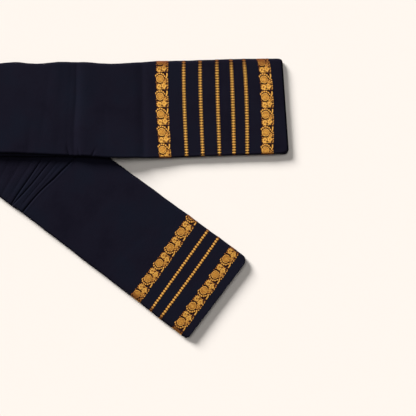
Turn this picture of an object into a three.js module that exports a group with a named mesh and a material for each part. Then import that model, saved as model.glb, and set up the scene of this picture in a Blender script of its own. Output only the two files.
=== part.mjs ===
import * as THREE from 'three';

// A saree, folded lengthwise into a long narrow pack, then turned once on itself and laid flat.
//
// The cloth is folded in half five times along its length, which gives 32 layers. One long side of the
// pack is closed: every layer turns there, inside the next. The other long side is open and shows lips:
// a thick one of 16 layers, a thinner one of 8, one of 4, and loose edges. The outermost cloth runs
// along the inner face from its loose edge, round the closed side, over the outer face and round the
// thick lip. The pack is then turned over an oblique crease, so its upper stretch lies over its lower
// one at an angle, and slopes down to the floor beside it.
//
// Millimetres, +Z up. The origin is at the middle of the bounding box, on the floor.

// ---- Driving dimensions -------------------------------------------------------------------------
const WIDTH = 180; // pack, from open side to closed side
const STACK = 12; // all 32 layers of one stretch, laid down
const CLOTH = 1.2; // wall of the outermost cloth
const SEAM = 0.33; // clearance between pieces that touch
const TURN_GAP = 1; // between the two stretches where the upper lies on the lower

const UPPER_HEADING = 1.6; // degrees from +X, the way the upper stretch runs from the crease
const LOWER_HEADING = -36.5;
const UPPER_LENGTH = 583.5; // along the centreline, from the crease
const LOWER_LENGTH = 568.5;
const CREASE_MIDDLE = new THREE.Vector2(-276.92, 150.19); // where both centrelines meet the crease

const CLOSED_ROUND = 7; // how far the closed side's rounding reaches across the pack
const LIP_ROUND = 3.5; // the same for the thick lip
const LIP_RETURN = 12; // how far the thick lip's cloth runs back between the layers
const EIGHT_LIP = { low: 3.1, high: STACK / 2 - SEAM }; // heights of the lip of 8 layers
const FOUR_LIP = { low: CLOTH + SEAM, high: 2.8 }; // and of the lip of 4
const LIP_STEP = 2; // each thinner lip stands back this far behind the thicker one
const THROAT = 2.5; // how far in the gap between those two lips goes, from the thinner one's edge
const FAN = 4; // outer layers go the longer way round the turn, so they end this much sooner
const FAN_REACH = 60; // the stretch's last part, over which that shows

const RAMP_START = 1; // the upper stretch leaves the lower one's side here...
const RAMP_LENGTH = 74; // ...and reaches the floor after this much

const ROUND_STEPS = 5; // facets round the closed side
const LIP_STEPS = 4; // and round the thick lip
const TURN_STEPS = 10; // facets round the turn

// Lines along a stretch, at these distances from its centreline, keep the walls and the layers inside
// them on the same facets.
const UPPER_LANES = [-66, -42, -18, 6, 30, 54, 75];
const LOWER_LANES = [-66, -33, 0, 33, 66];

// ---- Sections along each stretch ----------------------------------------------------------------
// at: distance from the crease along the centreline.
// lean: how far the section's closed end runs ahead of its middle, per millimetre of width.
// lip: how far the thick lip stands back from the pack's open side.
// thin: the same for the thinner lips and the loose edge.
// closed: the same for the closed side.
// rise: lift of the face that shows, for soft waves (+) and creases (-).
const COLUMNS = ['at', 'lean', 'lip', 'thin', 'closed', 'rise'];
const OBLIQUE = Math.tan(THREE.MathUtils.degToRad((UPPER_HEADING - LOWER_HEADING) / 2));

const UPPER_SECTIONS = named(COLUMNS, [
  [0.4, OBLIQUE, 16.6, 9, 0, 0],
  [20, 0.31, 16.4, 9, -1.6, 0],
  [42, 0.27, 15.4, 9, -3.8, 0],
  [66, 0.23, 14, 8.5, -5.6, 0.2],
  [90, 0.19, 12.3, 8, -3.6, 0.3],
  [114, 0.15, 10.8, 7, -3.4, 0.1],
  [136, 0.11, 9.2, 6, -4.6, -0.2],
  [156, 0.08, 7.8, 5.5, -5.8, -0.4],
  [170, 0.06, 6.8, 5, -5.5, -1.1],
  [182, 0.04, 5.8, 4.5, -5.1, -1.2],
  [194, 0.02, 4.6, 4, -4.8, 0.2],
  [206, 0, 3.5, 3.4, -4.4, 0.9],
  [220, 0, 2.3, 2.8, -3.5, 0.5],
  [240, 0, 0.5, 2, -1, 0.1],
  [262, 0, -1.3, 1.2, 0.6, 0],
  [284, 0, -2.1, 0.8, 0, 0],
  [302, 0, -2.1, 0.8, -0.7, -0.3],
  [316, 0, -2, 0.8, -1.2, -1],
  [330, 0, -2, 0.8, -1.5, -0.2],
  [350, 0, -2, 0.8, -2, 0.2],
  [374, 0, -1.8, 0.8, -1.9, 0.1],
  [402, -0.005, -1.4, 0.8, -1.8, 0],
  [440, -0.01, -0.8, 0.8, -1.7, 0],
  [490, -0.018, -0.5, 0.8, -2.3, 0],
  [540, -0.025, -0.3, 0.8, -1.3, 0],
  [569, -0.028, -0.2, 0.8, -0.8, 0],
  [576, -0.029, 0.6, 1.2, -0.7, 0],
  [581, -0.029, 3, 3, 0, 0],
  [UPPER_LENGTH, -0.029, 7, 7, 1.6, 0],
]);

const LOWER_SECTIONS = named(COLUMNS, [
  [0.4, -OBLIQUE, 17, 6, 0, 0],
  [24, -0.29, 15, 3.5, 0, 0],
  [56, -0.22, 12, 2.4, 0, 0],
  [92, -0.155, 9, 1.8, 0.5, 0],
  [122, -0.1, 7, 1.4, 1, 0],
  [144, -0.06, 6, 1.3, 1.5, 0],
  [154.5, -0.048, 6, 1.4, 1.6, -0.1],
  [159.2, -0.04, 6, 2, 1.7, -0.9],
  [163.8, -0.005, 6, 1.6, 1.8, -0.1],
  [168, 0.028, 5.5, 1.8, 1.9, -0.2],
  [173, 0.058, 5.5, 2.6, 2, -1.3],
  [178, 0.07, 5.5, 2.2, 2, -0.2],
  [193.6, 0.1, 5, 2.6, 2, 0.1],
  [199.7, 0.105, 5, 3.8, 2.2, -2],
  [205.6, 0.107, 5, 2.6, 2, 0.2],
  [218, 0.1, 4.5, 2.5, 2, 0.3],
  [250, 0.075, 4, 2.4, 1.7, 0.1],
  [300, 0.05, 3, 1.8, 0.9, 0],
  [360, 0.035, 2, 1, 0.6, 0],
  [420, 0.02, 1.5, 0.6, 0.4, 0],
  [480, 0.016, 0.8, -0.3, 0.1, 0],
  [530, 0.015, 0, -1.2, 0, 0],
  [555, 0.015, 0, -1, 0, 0],
  [561, 0.015, 0.3, -0.5, 0.3, 0],
  [564.4, 0.015, 0.8, 0.1, 1.6, 0],
  [566.8, 0.015, 1.3, 0.7, 4, 0],
  [LOWER_LENGTH, 0.015, 2.4, 1.8, 7.8, 0],
]);

// The layers inside stop this far short of the outermost cloth's ends.
const LAYERS_SET_BACK = 2;

// ---- Finish -------------------------------------------------------------------------------------
const NAVY = { color: 0x151724, roughness: 0.82, metalness: 0 };
const NAVY_INSIDE = { color: 0x10121c, roughness: 0.88, metalness: 0 };

// A table of bare rows becomes a list of objects, each value under its column's name.
function named(columns, rows) {
  return rows.map((row) => Object.fromEntries(columns.map((name, i) => [name, row[i]])));
}

function direction(degrees) {
  const angle = THREE.MathUtils.degToRad(degrees);
  return new THREE.Vector2(Math.cos(angle), Math.sin(angle));
}

// ---- The pack's cross-section -------------------------------------------------------------------
// A section's points have v, across the pack from the open side (-) to the closed side (+), and h, from
// the inner face (0, which the turn wraps) to the outer face (STACK).

// Points with their outward normals, on an elliptical arc about (v, h).
function arc(v, h, radiusV, radiusH, fromDegrees, toDegrees, steps) {
  const points = [];
  for (let i = 0; i <= steps; i += 1) {
    const n = direction(fromDegrees + ((toDegrees - fromDegrees) * i) / steps);
    points.push({ v: v + radiusV * n.x, h: h + radiusH * n.y, nv: n.x, nh: n.y });
  }
  return points;
}

// Points on a level run between two places, on every lane that lies well inside it.
function level(fromV, toV, h, normal, lanes) {
  const margin = 1;
  const low = Math.min(fromV, toV) + margin;
  const high = Math.max(fromV, toV) - margin;
  if (lanes[0] < low || lanes.at(-1) > high) throw new Error('a lane lies past a level run');
  const inOrder = fromV < toV ? lanes : [...lanes].reverse();
  return inOrder.map((v) => ({ v, h, nv: 0, nh: normal }));
}

// Outer surface of the outermost cloth, from its loose edge round to the thick lip's hidden end.
function clothPath(section, lanes) {
  const open = -WIDTH / 2;
  const closed = WIDTH / 2 - section.closed - CLOSED_ROUND;
  const loose = open + section.thin + LIP_STEP;
  const lip = open + section.lip + LIP_ROUND;
  return [
    { v: loose, h: 0, nv: 0, nh: -1 },
    ...level(loose, closed, 0, -1, lanes),
    ...arc(closed, STACK / 2, CLOSED_ROUND, STACK / 2, -90, 90, ROUND_STEPS),
    ...level(closed, lip, STACK, 1, lanes),
    ...arc(lip, (3 * STACK) / 4, LIP_ROUND, STACK / 4, 90, 270, LIP_STEPS),
    { v: lip + LIP_RETURN, h: STACK / 2, nv: 0, nh: -1 },
  ];
}

function moved(path, inward) {
  return path.map((p) => ({ v: p.v - p.nv * inward, h: p.h - p.nh * inward }));
}

// The outermost cloth as a wall: the outer surface, and back along the inner one.
function clothSection(section, lanes) {
  const path = clothPath(section, lanes);
  return [...moved(path, 0), ...moved(path, CLOTH).reverse()];
}

// A thin lip's rounded nose, from its low edge to its high one.
function nose(v, lip) {
  const half = (lip.high - lip.low) / 2;
  return [
    { v: v + half, h: lip.low },
    { v, h: lip.low + half },
    { v: v + half, h: lip.high },
  ];
}

// The layers inside: the outermost cloth's inner surface moved in by the seam, and the thinner lips,
// which lie below the thick lip's hidden end.
function layersSection(section, lanes) {
  const path = clothPath(section, lanes);
  const inside = moved(path.slice(1, -1), CLOTH + SEAM);
  const open = -WIDTH / 2 + section.thin;
  const hiddenEnd = path.at(-1).v + SEAM;
  const throat = open + LIP_STEP + THROAT;
  return [
    ...inside,
    { v: hiddenEnd, h: STACK / 2 + CLOTH + SEAM },
    { v: hiddenEnd, h: EIGHT_LIP.high },
    ...nose(open, EIGHT_LIP).reverse(),
    { v: throat, h: (EIGHT_LIP.low + FOUR_LIP.high) / 2 },
    ...nose(open + LIP_STEP, FOUR_LIP).reverse(),
  ];
}

// ---- From sections to solids --------------------------------------------------------------------
// A closed body through a list of rings that have the same number of points. Each ring is {flat, solid}:
// its points in the section's plane, and the same points in space. Every four-sided facet is split from
// the open side's near corner, so that neighbouring surfaces are split alike.
function loft(rings) {
  const count = rings[0].solid.length;
  const positions = rings.flatMap((ring) => ring.solid.flatMap((p) => [p.x, p.y, p.z]));
  const outline = rings[0].flat.map((p) => new THREE.Vector2(p.v, p.h));
  const triangles = [];
  for (let i = 0; i + 1 < rings.length; i += 1) {
    for (let j = 0; j < count; j += 1) {
      const k = (j + 1) % count;
      const [a, b, c, d] = [i * count + j, i * count + k, (i + 1) * count + k, (i + 1) * count + j];
      if (rings[i].flat[j].v < rings[i].flat[k].v) triangles.push([a, b, c], [a, c, d]);
      else triangles.push([a, b, d], [b, c, d]);
    }
  }
  const last = (rings.length - 1) * count;
  for (const [a, b, c] of THREE.ShapeUtils.triangulateShape(outline, [])) triangles.push([a, c, b]);
  const lastOutline = rings.at(-1).flat.map((p) => new THREE.Vector2(p.v, p.h));
  for (const [a, b, c] of THREE.ShapeUtils.triangulateShape(lastOutline, [])) {
    triangles.push([last + a, last + b, last + c]);
  }
  return facingOut(positions, triangles);
}

// The geometry, with its faces turned over if they enclose a negative volume.
function facingOut(positions, triangles) {
  const corner = (i) => new THREE.Vector3().fromArray(positions, i * 3);
  const volume = triangles.reduce(
    (sum, [a, b, c]) => sum + corner(a).dot(corner(b).cross(corner(c))),
    0,
  );
  const index = triangles.flatMap(([a, b, c]) => (volume > 0 ? [a, b, c] : [a, c, b]));
  const geometry = new THREE.BufferGeometry();
  geometry.setAttribute('position', new THREE.Float32BufferAttribute(positions, 3));
  geometry.setIndex(index);
  geometry.computeVertexNormals();
  return geometry;
}

// ---- Where each stretch lies --------------------------------------------------------------------
const upperAlong = direction(UPPER_HEADING);
const upperAcross = direction(UPPER_HEADING + 90);
const lowerAlong = direction(LOWER_HEADING);
const lowerAcross = direction(LOWER_HEADING + 90);
const creaseAlong = direction((UPPER_HEADING + LOWER_HEADING) / 2 + 90);
const turnOutward = direction((UPPER_HEADING + LOWER_HEADING) / 2 + 180);

// Where a section's point lies on the floor plan.
function onFloor(along, across, section, length, p) {
  const fan = FAN * THREE.MathUtils.smoothstep(section.at, length - FAN_REACH, length);
  const at = section.at + p.v * section.lean - (fan * p.h) / STACK;
  return CREASE_MIDDLE.clone().addScaledVector(along, at).addScaledVector(across, p.v);
}

// Height of the upper stretch's underside: on the lower stretch, then down to the floor beside it.
function underside(place) {
  const pastLowerSide = place.clone().sub(CREASE_MIDDLE).dot(lowerAcross) - WIDTH / 2;
  const t = THREE.MathUtils.smoothstep(pastLowerSide, RAMP_START, RAMP_START + RAMP_LENGTH);
  return (STACK + TURN_GAP) * (1 - t);
}

function upperRing(section, outline) {
  const solid = outline.map((p) => {
    const place = onFloor(upperAlong, upperAcross, section, UPPER_LENGTH, p);
    const z = underside(place) + p.h + (section.rise * p.h) / STACK;
    return new THREE.Vector3(place.x, place.y, z);
  });
  return { flat: outline, solid };
}

// The lower stretch is the pack turned over: its outer face is on the floor.
function lowerRing(section, outline) {
  const solid = outline.map((p) => {
    const place = onFloor(lowerAlong, lowerAcross, section, LOWER_LENGTH, p);
    const z = STACK - p.h;
    return new THREE.Vector3(place.x, place.y, z + (section.rise * z) / STACK);
  });
  return { flat: outline, solid };
}

// Rings round the turn lie in planes through the crease, from straight up to straight down.
function turnRing(degrees, outline) {
  const stretch = Math.hypot(1, OBLIQUE);
  const swing = direction(degrees);
  const solid = outline.map((p) => {
    const radius = TURN_GAP / 2 + p.h;
    const place = CREASE_MIDDLE.clone()
      .addScaledVector(creaseAlong, p.v * stretch)
      .addScaledVector(turnOutward, radius * swing.x);
    return new THREE.Vector3(place.x, place.y, STACK + TURN_GAP / 2 + radius * swing.y);
  });
  return { flat: outline, solid };
}

// ---- Pieces -------------------------------------------------------------------------------------
function stretch(sections, ringAt, outlineOf, lanes) {
  return loft(sections.map((section) => ringAt(section, outlineOf(section, lanes))));
}

function turn(outlineOf) {
  const rings = [];
  for (let i = 0; i <= TURN_STEPS; i += 1) {
    const share = i / TURN_STEPS;
    const section = {
      lip: THREE.MathUtils.lerp(UPPER_SECTIONS[0].lip, LOWER_SECTIONS[0].lip, share),
      thin: THREE.MathUtils.lerp(UPPER_SECTIONS[0].thin, LOWER_SECTIONS[0].thin, share),
      closed: 0,
    };
    rings.push(turnRing(90 - 180 * share, outlineOf(section, LOWER_LANES)));
  }
  return loft(rings);
}

function setBack(sections) {
  const inner = sections.map((section) => ({ ...section }));
  inner.at(-1).at -= LAYERS_SET_BACK;
  inner.at(-2).at -= LAYERS_SET_BACK / 2;
  return inner;
}

const saree = new THREE.Group();

function add(name, geometry, finish) {
  const mesh = new THREE.Mesh(geometry, new THREE.MeshStandardMaterial(finish));
  mesh.name = name;
  saree.add(mesh);
}

const upperInside = setBack(UPPER_SECTIONS);
const lowerInside = setBack(LOWER_SECTIONS);

add('upper_stretch_cloth', stretch(UPPER_SECTIONS, upperRing, clothSection, UPPER_LANES), NAVY);
add('upper_stretch_layers', stretch(upperInside, upperRing, layersSection, UPPER_LANES), NAVY_INSIDE);
add('turn_cloth', turn(clothSection), NAVY);
add('turn_layers', turn(layersSection), NAVY_INSIDE);
add('lower_stretch_cloth', stretch(LOWER_SECTIONS, lowerRing, clothSection, LOWER_LANES), NAVY);
add('lower_stretch_layers', stretch(lowerInside, lowerRing, layersSection, LOWER_LANES), NAVY_INSIDE);

export default saree;
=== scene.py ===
import math
from collections import namedtuple

import bpy
import numpy as np
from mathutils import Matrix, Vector


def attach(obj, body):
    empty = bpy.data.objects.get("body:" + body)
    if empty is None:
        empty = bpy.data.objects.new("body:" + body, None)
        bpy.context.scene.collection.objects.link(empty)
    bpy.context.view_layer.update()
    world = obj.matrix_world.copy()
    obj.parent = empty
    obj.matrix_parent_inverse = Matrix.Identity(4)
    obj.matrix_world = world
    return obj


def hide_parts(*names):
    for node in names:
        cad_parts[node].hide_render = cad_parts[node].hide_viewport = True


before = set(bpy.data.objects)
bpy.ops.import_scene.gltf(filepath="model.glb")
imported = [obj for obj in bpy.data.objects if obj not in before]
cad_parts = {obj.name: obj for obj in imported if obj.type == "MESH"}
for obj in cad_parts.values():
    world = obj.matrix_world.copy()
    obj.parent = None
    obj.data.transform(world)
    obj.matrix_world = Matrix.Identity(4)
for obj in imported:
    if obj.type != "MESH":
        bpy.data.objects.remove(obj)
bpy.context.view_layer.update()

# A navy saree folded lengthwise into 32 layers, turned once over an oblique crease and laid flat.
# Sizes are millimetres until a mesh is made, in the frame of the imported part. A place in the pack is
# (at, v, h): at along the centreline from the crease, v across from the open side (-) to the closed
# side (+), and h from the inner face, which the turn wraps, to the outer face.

MM = 0.001

# ---- Driving dimensions, as in the part's source ----
WIDTH = 180.0
STACK = 12.0
LAYERS = 32
TURN_GAP = 1.0

UPPER_HEADING = 1.6
LOWER_HEADING = -36.5
UPPER_LENGTH = 583.5
LOWER_LENGTH = 568.5
CREASE_MIDDLE = np.array([-276.92, 150.19])

CLOSED_ROUND = 7.0  # reach of the round on the closed side
LIP_ROUND = 3.5  # reach of the round on the thick lip
LIP_RETURN = 12.0  # how far the thick lip's cloth runs back inside
LIP_STEP = 2.0  # how far a thinner lip stands back
FAN = 4.0  # how far the outer face stands back at a cut end
FAN_REACH = 60.0
RAMP_START = 1.0  # past the lower stretch, where the upper one starts to come down
RAMP_LENGTH = 74.0

PITCH = STACK / LAYERS  # one layer of cloth, laid down
SHEET = 0.42  # wall of the outermost cloth
SEAM = 0.12  # between it and the layers inside

OBLIQUE = math.tan(math.radians((UPPER_HEADING - LOWER_HEADING) / 2))

# at, lean, lip, thin, closed, rise: see the part's source
UPPER_SECTIONS = np.array([
    [0.4, OBLIQUE, 16.6, 9, 0, 0],
    [20, 0.31, 16.4, 9, -1.6, 0],
    [42, 0.27, 15.4, 9, -3.8, 0],
    [66, 0.23, 14, 8.5, -5.6, 0.2],
    [90, 0.19, 12.3, 8, -3.6, 0.3],
    [114, 0.15, 10.8, 7, -3.4, 0.1],
    [136, 0.11, 9.2, 6, -4.6, -0.2],
    [156, 0.08, 7.8, 5.5, -5.8, -0.4],
    [170, 0.06, 6.8, 5, -5.5, -1.1],
    [182, 0.04, 5.8, 4.5, -5.1, -1.2],
    [194, 0.02, 4.6, 4, -4.8, 0.2],
    [206, 0, 3.5, 3.4, -4.4, 0.9],
    [220, 0, 2.3, 2.8, -3.5, 0.5],
    [240, 0, 0.5, 2, -1, 0.1],
    [262, 0, -1.3, 1.2, 0.6, 0],
    [284, 0, -2.1, 0.8, 0, 0],
    [302, 0, -2.1, 0.8, -0.7, -0.3],
    [316, 0, -2, 0.8, -1.2, -1],
    [330, 0, -2, 0.8, -1.5, -0.2],
    [350, 0, -2, 0.8, -2, 0.2],
    [374, 0, -1.8, 0.8, -1.9, 0.1],
    [402, -0.005, -1.4, 0.8, -1.8, 0],
    [440, -0.01, -0.8, 0.8, -1.7, 0],
    [490, -0.018, -0.5, 0.8, -2.3, 0],
    [540, -0.025, -0.3, 0.8, -1.3, 0],
    [569, -0.028, -0.2, 0.8, -0.8, 0],
    [576, -0.029, 0.6, 1.2, -0.7, 0],
    [581, -0.029, 3, 3, 0, 0],
    [UPPER_LENGTH, -0.029, 7, 7, 1.6, 0],
])
# The lower stretch's narrow creases are a table of their own below, so its rise is only the soft part.
LOWER_SECTIONS = np.array([
    [0.4, -OBLIQUE, 17, 6, 0, 0],
    [24, -0.29, 15, 3.5, 0, 0],
    [56, -0.22, 12, 2.4, 0, 0],
    [92, -0.155, 9, 1.8, 0.5, 0],
    [122, -0.1, 7, 1.4, 1, 0],
    [144, -0.06, 6, 1.3, 1.5, 0],
    [163.8, -0.005, 6, 1.5, 1.8, 0],
    [173, 0.058, 5.5, 1.8, 2, -0.1],
    [199.7, 0.105, 5, 2.6, 2.2, -0.1],
    [218, 0.1, 4.5, 2.5, 2, 0.3],
    [250, 0.075, 4, 2.4, 1.7, 0.1],
    [300, 0.05, 3, 1.8, 0.9, 0],
    [360, 0.035, 2, 1, 0.6, 0],
    [420, 0.02, 1.5, 0.6, 0.4, 0],
    [480, 0.016, 0.8, -0.3, 0.1, 0],
    [530, 0.015, 0, -1.2, 0, 0],
    [555, 0.015, 0, -1, 0, 0],
    [561, 0.015, 0.3, -0.5, 0.3, 0],
    [564.4, 0.015, 0.8, 0.1, 1.6, 0],
    [566.8, 0.015, 1.3, 0.7, 4, 0],
    [LOWER_LENGTH, 0.015, 2.4, 1.8, 7.8, 0],
])

# Narrow creases that run across a stretch, as soft troughs in the face that shows.
# along: where the crease crosses the centreline. slope: how it drifts, per millimetre across.
# depth and half_width of the trough. start and end: where across it fades in and out. bow: how far it
# bulges ahead near the open side.
LOWER_CREASES = [
    # along, slope, depth, half_width, start, end, bow
    [159.2, -0.075, 1.7, 1.5, -104, 50, 0],
    [173, 0.058, 1.5, 1.3, -100, 56, 0.8],
    [183.8, 0.022, 0.7, 1.6, -74, 60, 0],
    [199.8, 0.105, 2.4, 1.3, -104, 80, -3.2],
    [191, 0.075, 0.4, 1.8, -60, 30, 0],
    [182.3, 0.35, 1.2, 0.9, -112, -86, 0],
    [166, 0, 0.4, 2, -40, 60, 0],
    [146, -0.12, 0.6, 2.2, -70, 90, 0],
    [128, -0.16, 0.5, 2.6, -100, 90, 0],
    [108, -0.2, 0.4, 3, -90, 90, 0],
    [390.7, 0.157, 0.35, 3, -76, 34, 0],
    [300, 0.1, 0.16, 5, -40, 70, 0],
]
UPPER_CREASES = [
    [118, 0.12, 0.5, 5, -110, -20, 0],
    [140, 0.12, 0.3, 5, -60, 95, 0],
    [195, 0.03, 2.7, 8, -95, 95, 0],
    [163, -0.25, 2.2, 2.6, -98, -72, 0],
    [186, -0.2, 2.4, 1.7, -98, -78, 0],
    [268, 0.48, 2.1, 1.6, -98, -79, 0],
    [248, -0.05, 0.25, 4, -95, 20, 0],
    [319, 0, 1.3, 6, -95, 95, 0],
]
TROUGH_POWER = 1.4  # 2 would be a bell, less is sharper
CREASE_SHOULDER = 0.12  # height of the lip beside a crease, for each millimetre of its depth
SHOULDER_PLACE = 2.6  # of that lip, and its half width, in half widths of the crease
SHOULDER_HALF_WIDTH = 1.5
CREASE_FADE = 12.0  # half the distance over which a crease fades in or out
CREASE_WANDER = 0.6  # how far a crease strays to and fro
CREASE_WANDER_LENGTH = 19.0  # over 2 pi
BOW_LENGTH = 85.0  # from the open side, over which a crease bulges

# Soft waves in the face that shows: height, length along and across over 2 pi, phase
FACE_WAVES = [(0.12, 23.0, 41.0, 0.0), (0.08, 9.5, -15.0, 1.3)]
FACE_WAVES_FADE = (20, 80)  # how far from the crease they fade in
EDGE_WAVES_FADE = (0, 60)
EDGE_SHIFTS = (0, 137, 290)  # one for each edge, so that no two wave together
MOST_LIFT = 1.1  # what stands above the face is lifted with it, up to here


def smoothstep(x, low, high):
    t = np.clip((x - low) / (high - low), 0, 1)
    return t * t * (3 - 2 * t)


def along_table(xs, ys, x):
    """A smooth curve through (xs, ys) that never passes a neighbouring value, at each x."""
    step = np.diff(xs)
    slope = np.diff(ys) / step
    tangent = np.zeros(len(xs))
    rising = slope[:-1] * slope[1:] > 0
    a, b = 2 * step[1:] + step[:-1], step[1:] + 2 * step[:-1]
    with np.errstate(divide="ignore", invalid="ignore"):
        mean = (a + b) / (a / slope[:-1] + b / slope[1:])
    tangent[1:-1] = np.where(rising, mean, 0)
    tangent[0], tangent[-1] = slope[0], slope[-1]
    i = np.clip(np.searchsorted(xs, x, side="right") - 1, 0, len(xs) - 2)
    t = (x - xs[i]) / step[i]
    return (
        ys[i] * (1 + 2 * t) * (1 - t) ** 2
        + ys[i + 1] * t * t * (3 - 2 * t)
        + step[i] * (tangent[i] * t * (1 - t) ** 2 + tangent[i + 1] * t * t * (t - 1))
    )


def direction(degrees):
    angle = math.radians(degrees)
    return np.array([math.cos(angle), math.sin(angle)])


def waves(x, terms):
    """A sum of sines, each (height, wavelength, phase)."""
    return sum(height * np.sin(2 * math.pi * x / length + phase) for height, length, phase in terms)


# ---- Where the woven bands run ----
# A band or a thin line woven across a stretch. middle, width: along the stretch. slope: how the line
# drifts, per millimetre across. bow: how far it bulges ahead between the sides. first: where across it a
# repeat lies. pitch: length of a repeat.
Line = namedtuple("Line", "name kind middle width slope bow first pitch")

UPPER_LINES = [
    Line("upper_band_inner", "motif", 357.0, 22.6, -0.007, -2.3, 56.3, 33.4),
    Line("upper_line_1", "pairs", 397.1, 7.2, -0.005, -1.6, 1.8, 5.0),
    Line("upper_line_2", "pairs", 427.0, 7.2, -0.001, -1.1, 1.1, 5.03),
    Line("upper_line_3", "pairs", 457.8, 7.2, 0.002, -0.6, -0.3, 4.99),
    Line("upper_line_4", "pairs", 484.2, 7.2, -0.002, 0.9, -1.5, 4.97),
    Line("upper_line_5", "pairs", 508.1, 7.2, -0.004, 2.4, -2.3, 5.0),
    Line("upper_band_outer", "motif", 543.9, 22.2, -0.012, 4.9, 49.8, 33.3),
]
LOWER_LINES = [
    Line("lower_band_inner", "motif", 447.4, 22.4, -0.027, 1.1, 56.9, 34.3),
    Line("lower_line_1", "beads", 482.2, 5.8, -0.018, 0.0, -0.3, 5.13),
    Line("lower_line_2", "beads", 504.7, 5.8, -0.012, 1.0, 2.5, 5.15),
    Line("lower_band_outer", "motif", 541.1, 21.9, -0.018, 1.5, 66.0, 34.6),
]
BOW_SKEW = 0.75  # puts the bows' peak nearer the closed side


# ---- The two stretches and the turn between them ----
class Stretch:
    """One straight length of the pack: maps (at, v, h) to the part's frame."""

    def __init__(self, heading, length, sections, creases, lines, upper, edge_waves):
        self.along, self.across = direction(heading), direction(heading + 90)
        self.length, self.sections, self.creases = length, sections, creases
        self.lines, self.upper, self.edge_waves = lines, upper, edge_waves
        self.sign = 1 if upper else -1  # of places along the cloth, which runs through both stretches

    def column(self, index, at):
        return along_table(self.sections[:, 0], self.sections[:, index], at)

    def edges(self, at):
        """How far the thick lip, the thin lips and the closed side stand back."""
        fade = smoothstep(at, *EDGE_WAVES_FADE)
        lip, thin, closed = (self.column(k, at) for k in (2, 3, 4))
        sway = [fade * waves(at + shift, self.edge_waves) for shift in EDGE_SHIFTS]
        return lip + sway[0], thin + sway[1], closed + sway[2]

    def along_arm(self, at, v, h):
        fan = FAN * smoothstep(at, self.length - FAN_REACH, self.length)
        return at + v * self.column(1, at) - fan * h / STACK

    def drift(self, f, v):
        """How far the woven line at f stands ahead of its middle, at v across the cloth."""
        middles = [line.middle for line in self.lines]
        slope = np.interp(f, middles, [line.slope for line in self.lines])
        bow = np.interp(f, middles, [line.bow for line in self.lines])
        from_closed = np.clip(0.5 - v / WIDTH, 0, 1)
        return slope * v + bow * np.sin(math.pi * from_closed**BOW_SKEW)

    def fabric_along(self, at, v, h):
        """Distance along the cloth from the crease, as the woven lines see it."""
        u = self.along_arm(at, v, h)
        f = u - self.drift(u, v)
        return u - self.drift(f, v)

    def lift(self, at, v):
        """Height of the soft waves and creases in the face that shows."""
        u = at + v * self.column(1, at)
        z = self.column(5, at)
        fade = smoothstep(at, *FACE_WAVES_FADE)
        for height, along, across, phase in FACE_WAVES:
            z = z + height * np.sin(u / along + v / across + phase) * fade
        for middle, slope, depth, half, start, end, bow in self.creases:
            bulge = bow * np.sin(math.pi * np.clip((v + WIDTH / 2) / BOW_LENGTH, 0, 1))
            wander = CREASE_WANDER * np.sin(v / CREASE_WANDER_LENGTH + middle)
            off = (u - middle - slope * v - bulge - wander) / half
            begun = smoothstep(v, start - CREASE_FADE, start + CREASE_FADE)
            ended = smoothstep(v, end - CREASE_FADE, end + CREASE_FADE)
            trough = np.exp(-np.abs(off) ** TROUGH_POWER)
            beside = (off - SHOULDER_PLACE) / SHOULDER_HALF_WIDTH
            shoulder = CREASE_SHOULDER * np.exp(-(beside**2))
            z = z - depth * (begun * (1 - ended)) * (trough - shoulder)
        return z

    def place(self, at, v, h):
        u = self.along_arm(at, v, h)
        x, y = (CREASE_MIDDLE[k] + u * self.along[k] + v * self.across[k] for k in (0, 1))
        lift = self.lift(at, v)
        if self.upper:
            past = (x - CREASE_MIDDLE[0]) * LOWER.across[0] + (y - CREASE_MIDDLE[1]) * LOWER.across[1]
            under = 1 - smoothstep(past - WIDTH / 2, RAMP_START, RAMP_START + RAMP_LENGTH)
            z = (STACK + TURN_GAP) * under + h + lift * np.clip(h / STACK, 0, MOST_LIFT) ** 2
        else:
            top = STACK - h
            droop = LOOSE_DROOP * np.clip(1 - (v + WIDTH / 2) / LOOSE_DROOP_REACH, 0, 1) ** 2
            level = np.clip(top / STACK, 0, MOST_LIFT)
            z = top + lift * level**2 - droop * level**2
        return np.stack(np.broadcast_arrays(x, y, z), axis=-1)


LOOSE_DROOP = 2.4  # the lower stretch's open side rounds down by this
LOOSE_DROOP_REACH = 12.0

LOWER = Stretch(
    LOWER_HEADING, LOWER_LENGTH, LOWER_SECTIONS, LOWER_CREASES, LOWER_LINES, False,
    [(0.22, 83, 0.4), (0.14, 37, 1.9), (0.07, 17, 0.2)],
)
UPPER = Stretch(
    UPPER_HEADING, UPPER_LENGTH, UPPER_SECTIONS, UPPER_CREASES, UPPER_LINES, True,
    [(0.18, 97, 1.1), (0.12, 43, 0.3), (0.06, 19, 2.2)],
)

CREASE_ALONG = direction((UPPER_HEADING + LOWER_HEADING) / 2 + 90)
TURN_OUTWARD = direction((UPPER_HEADING + LOWER_HEADING) / 2 + 180)


def place_turn(degrees, v, h):
    swing = direction(degrees)
    radius = TURN_GAP / 2 + h
    stretch = math.hypot(1, OBLIQUE)
    x, y = (
        CREASE_MIDDLE[k] + CREASE_ALONG[k] * v * stretch + TURN_OUTWARD[k] * radius * swing[0]
        for k in (0, 1)
    )
    return np.stack([x, y, STACK + TURN_GAP / 2 + radius * swing[1]], axis=-1)


def turn_edges(share):
    ends = [(s.edges(s.sections[:1, 0])[k][0]) for s in (UPPER, LOWER) for k in range(3)]
    return [ends[k] * (1 - share) + ends[k + 3] * share for k in range(3)]


# ---- Sections ----
OPEN_SIDE, CLOSED_SIDE = -WIDTH / 2, WIDTH / 2


# run and arc give points across the pack, a row for each section: v, h and the outward normal (nv, nh).
def run(start, end, h, normal, shares):
    v = start[:, None] + (end - start)[:, None] * shares[None, :]
    return v, np.full_like(v, h), np.zeros_like(v), np.full_like(v, normal)


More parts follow.
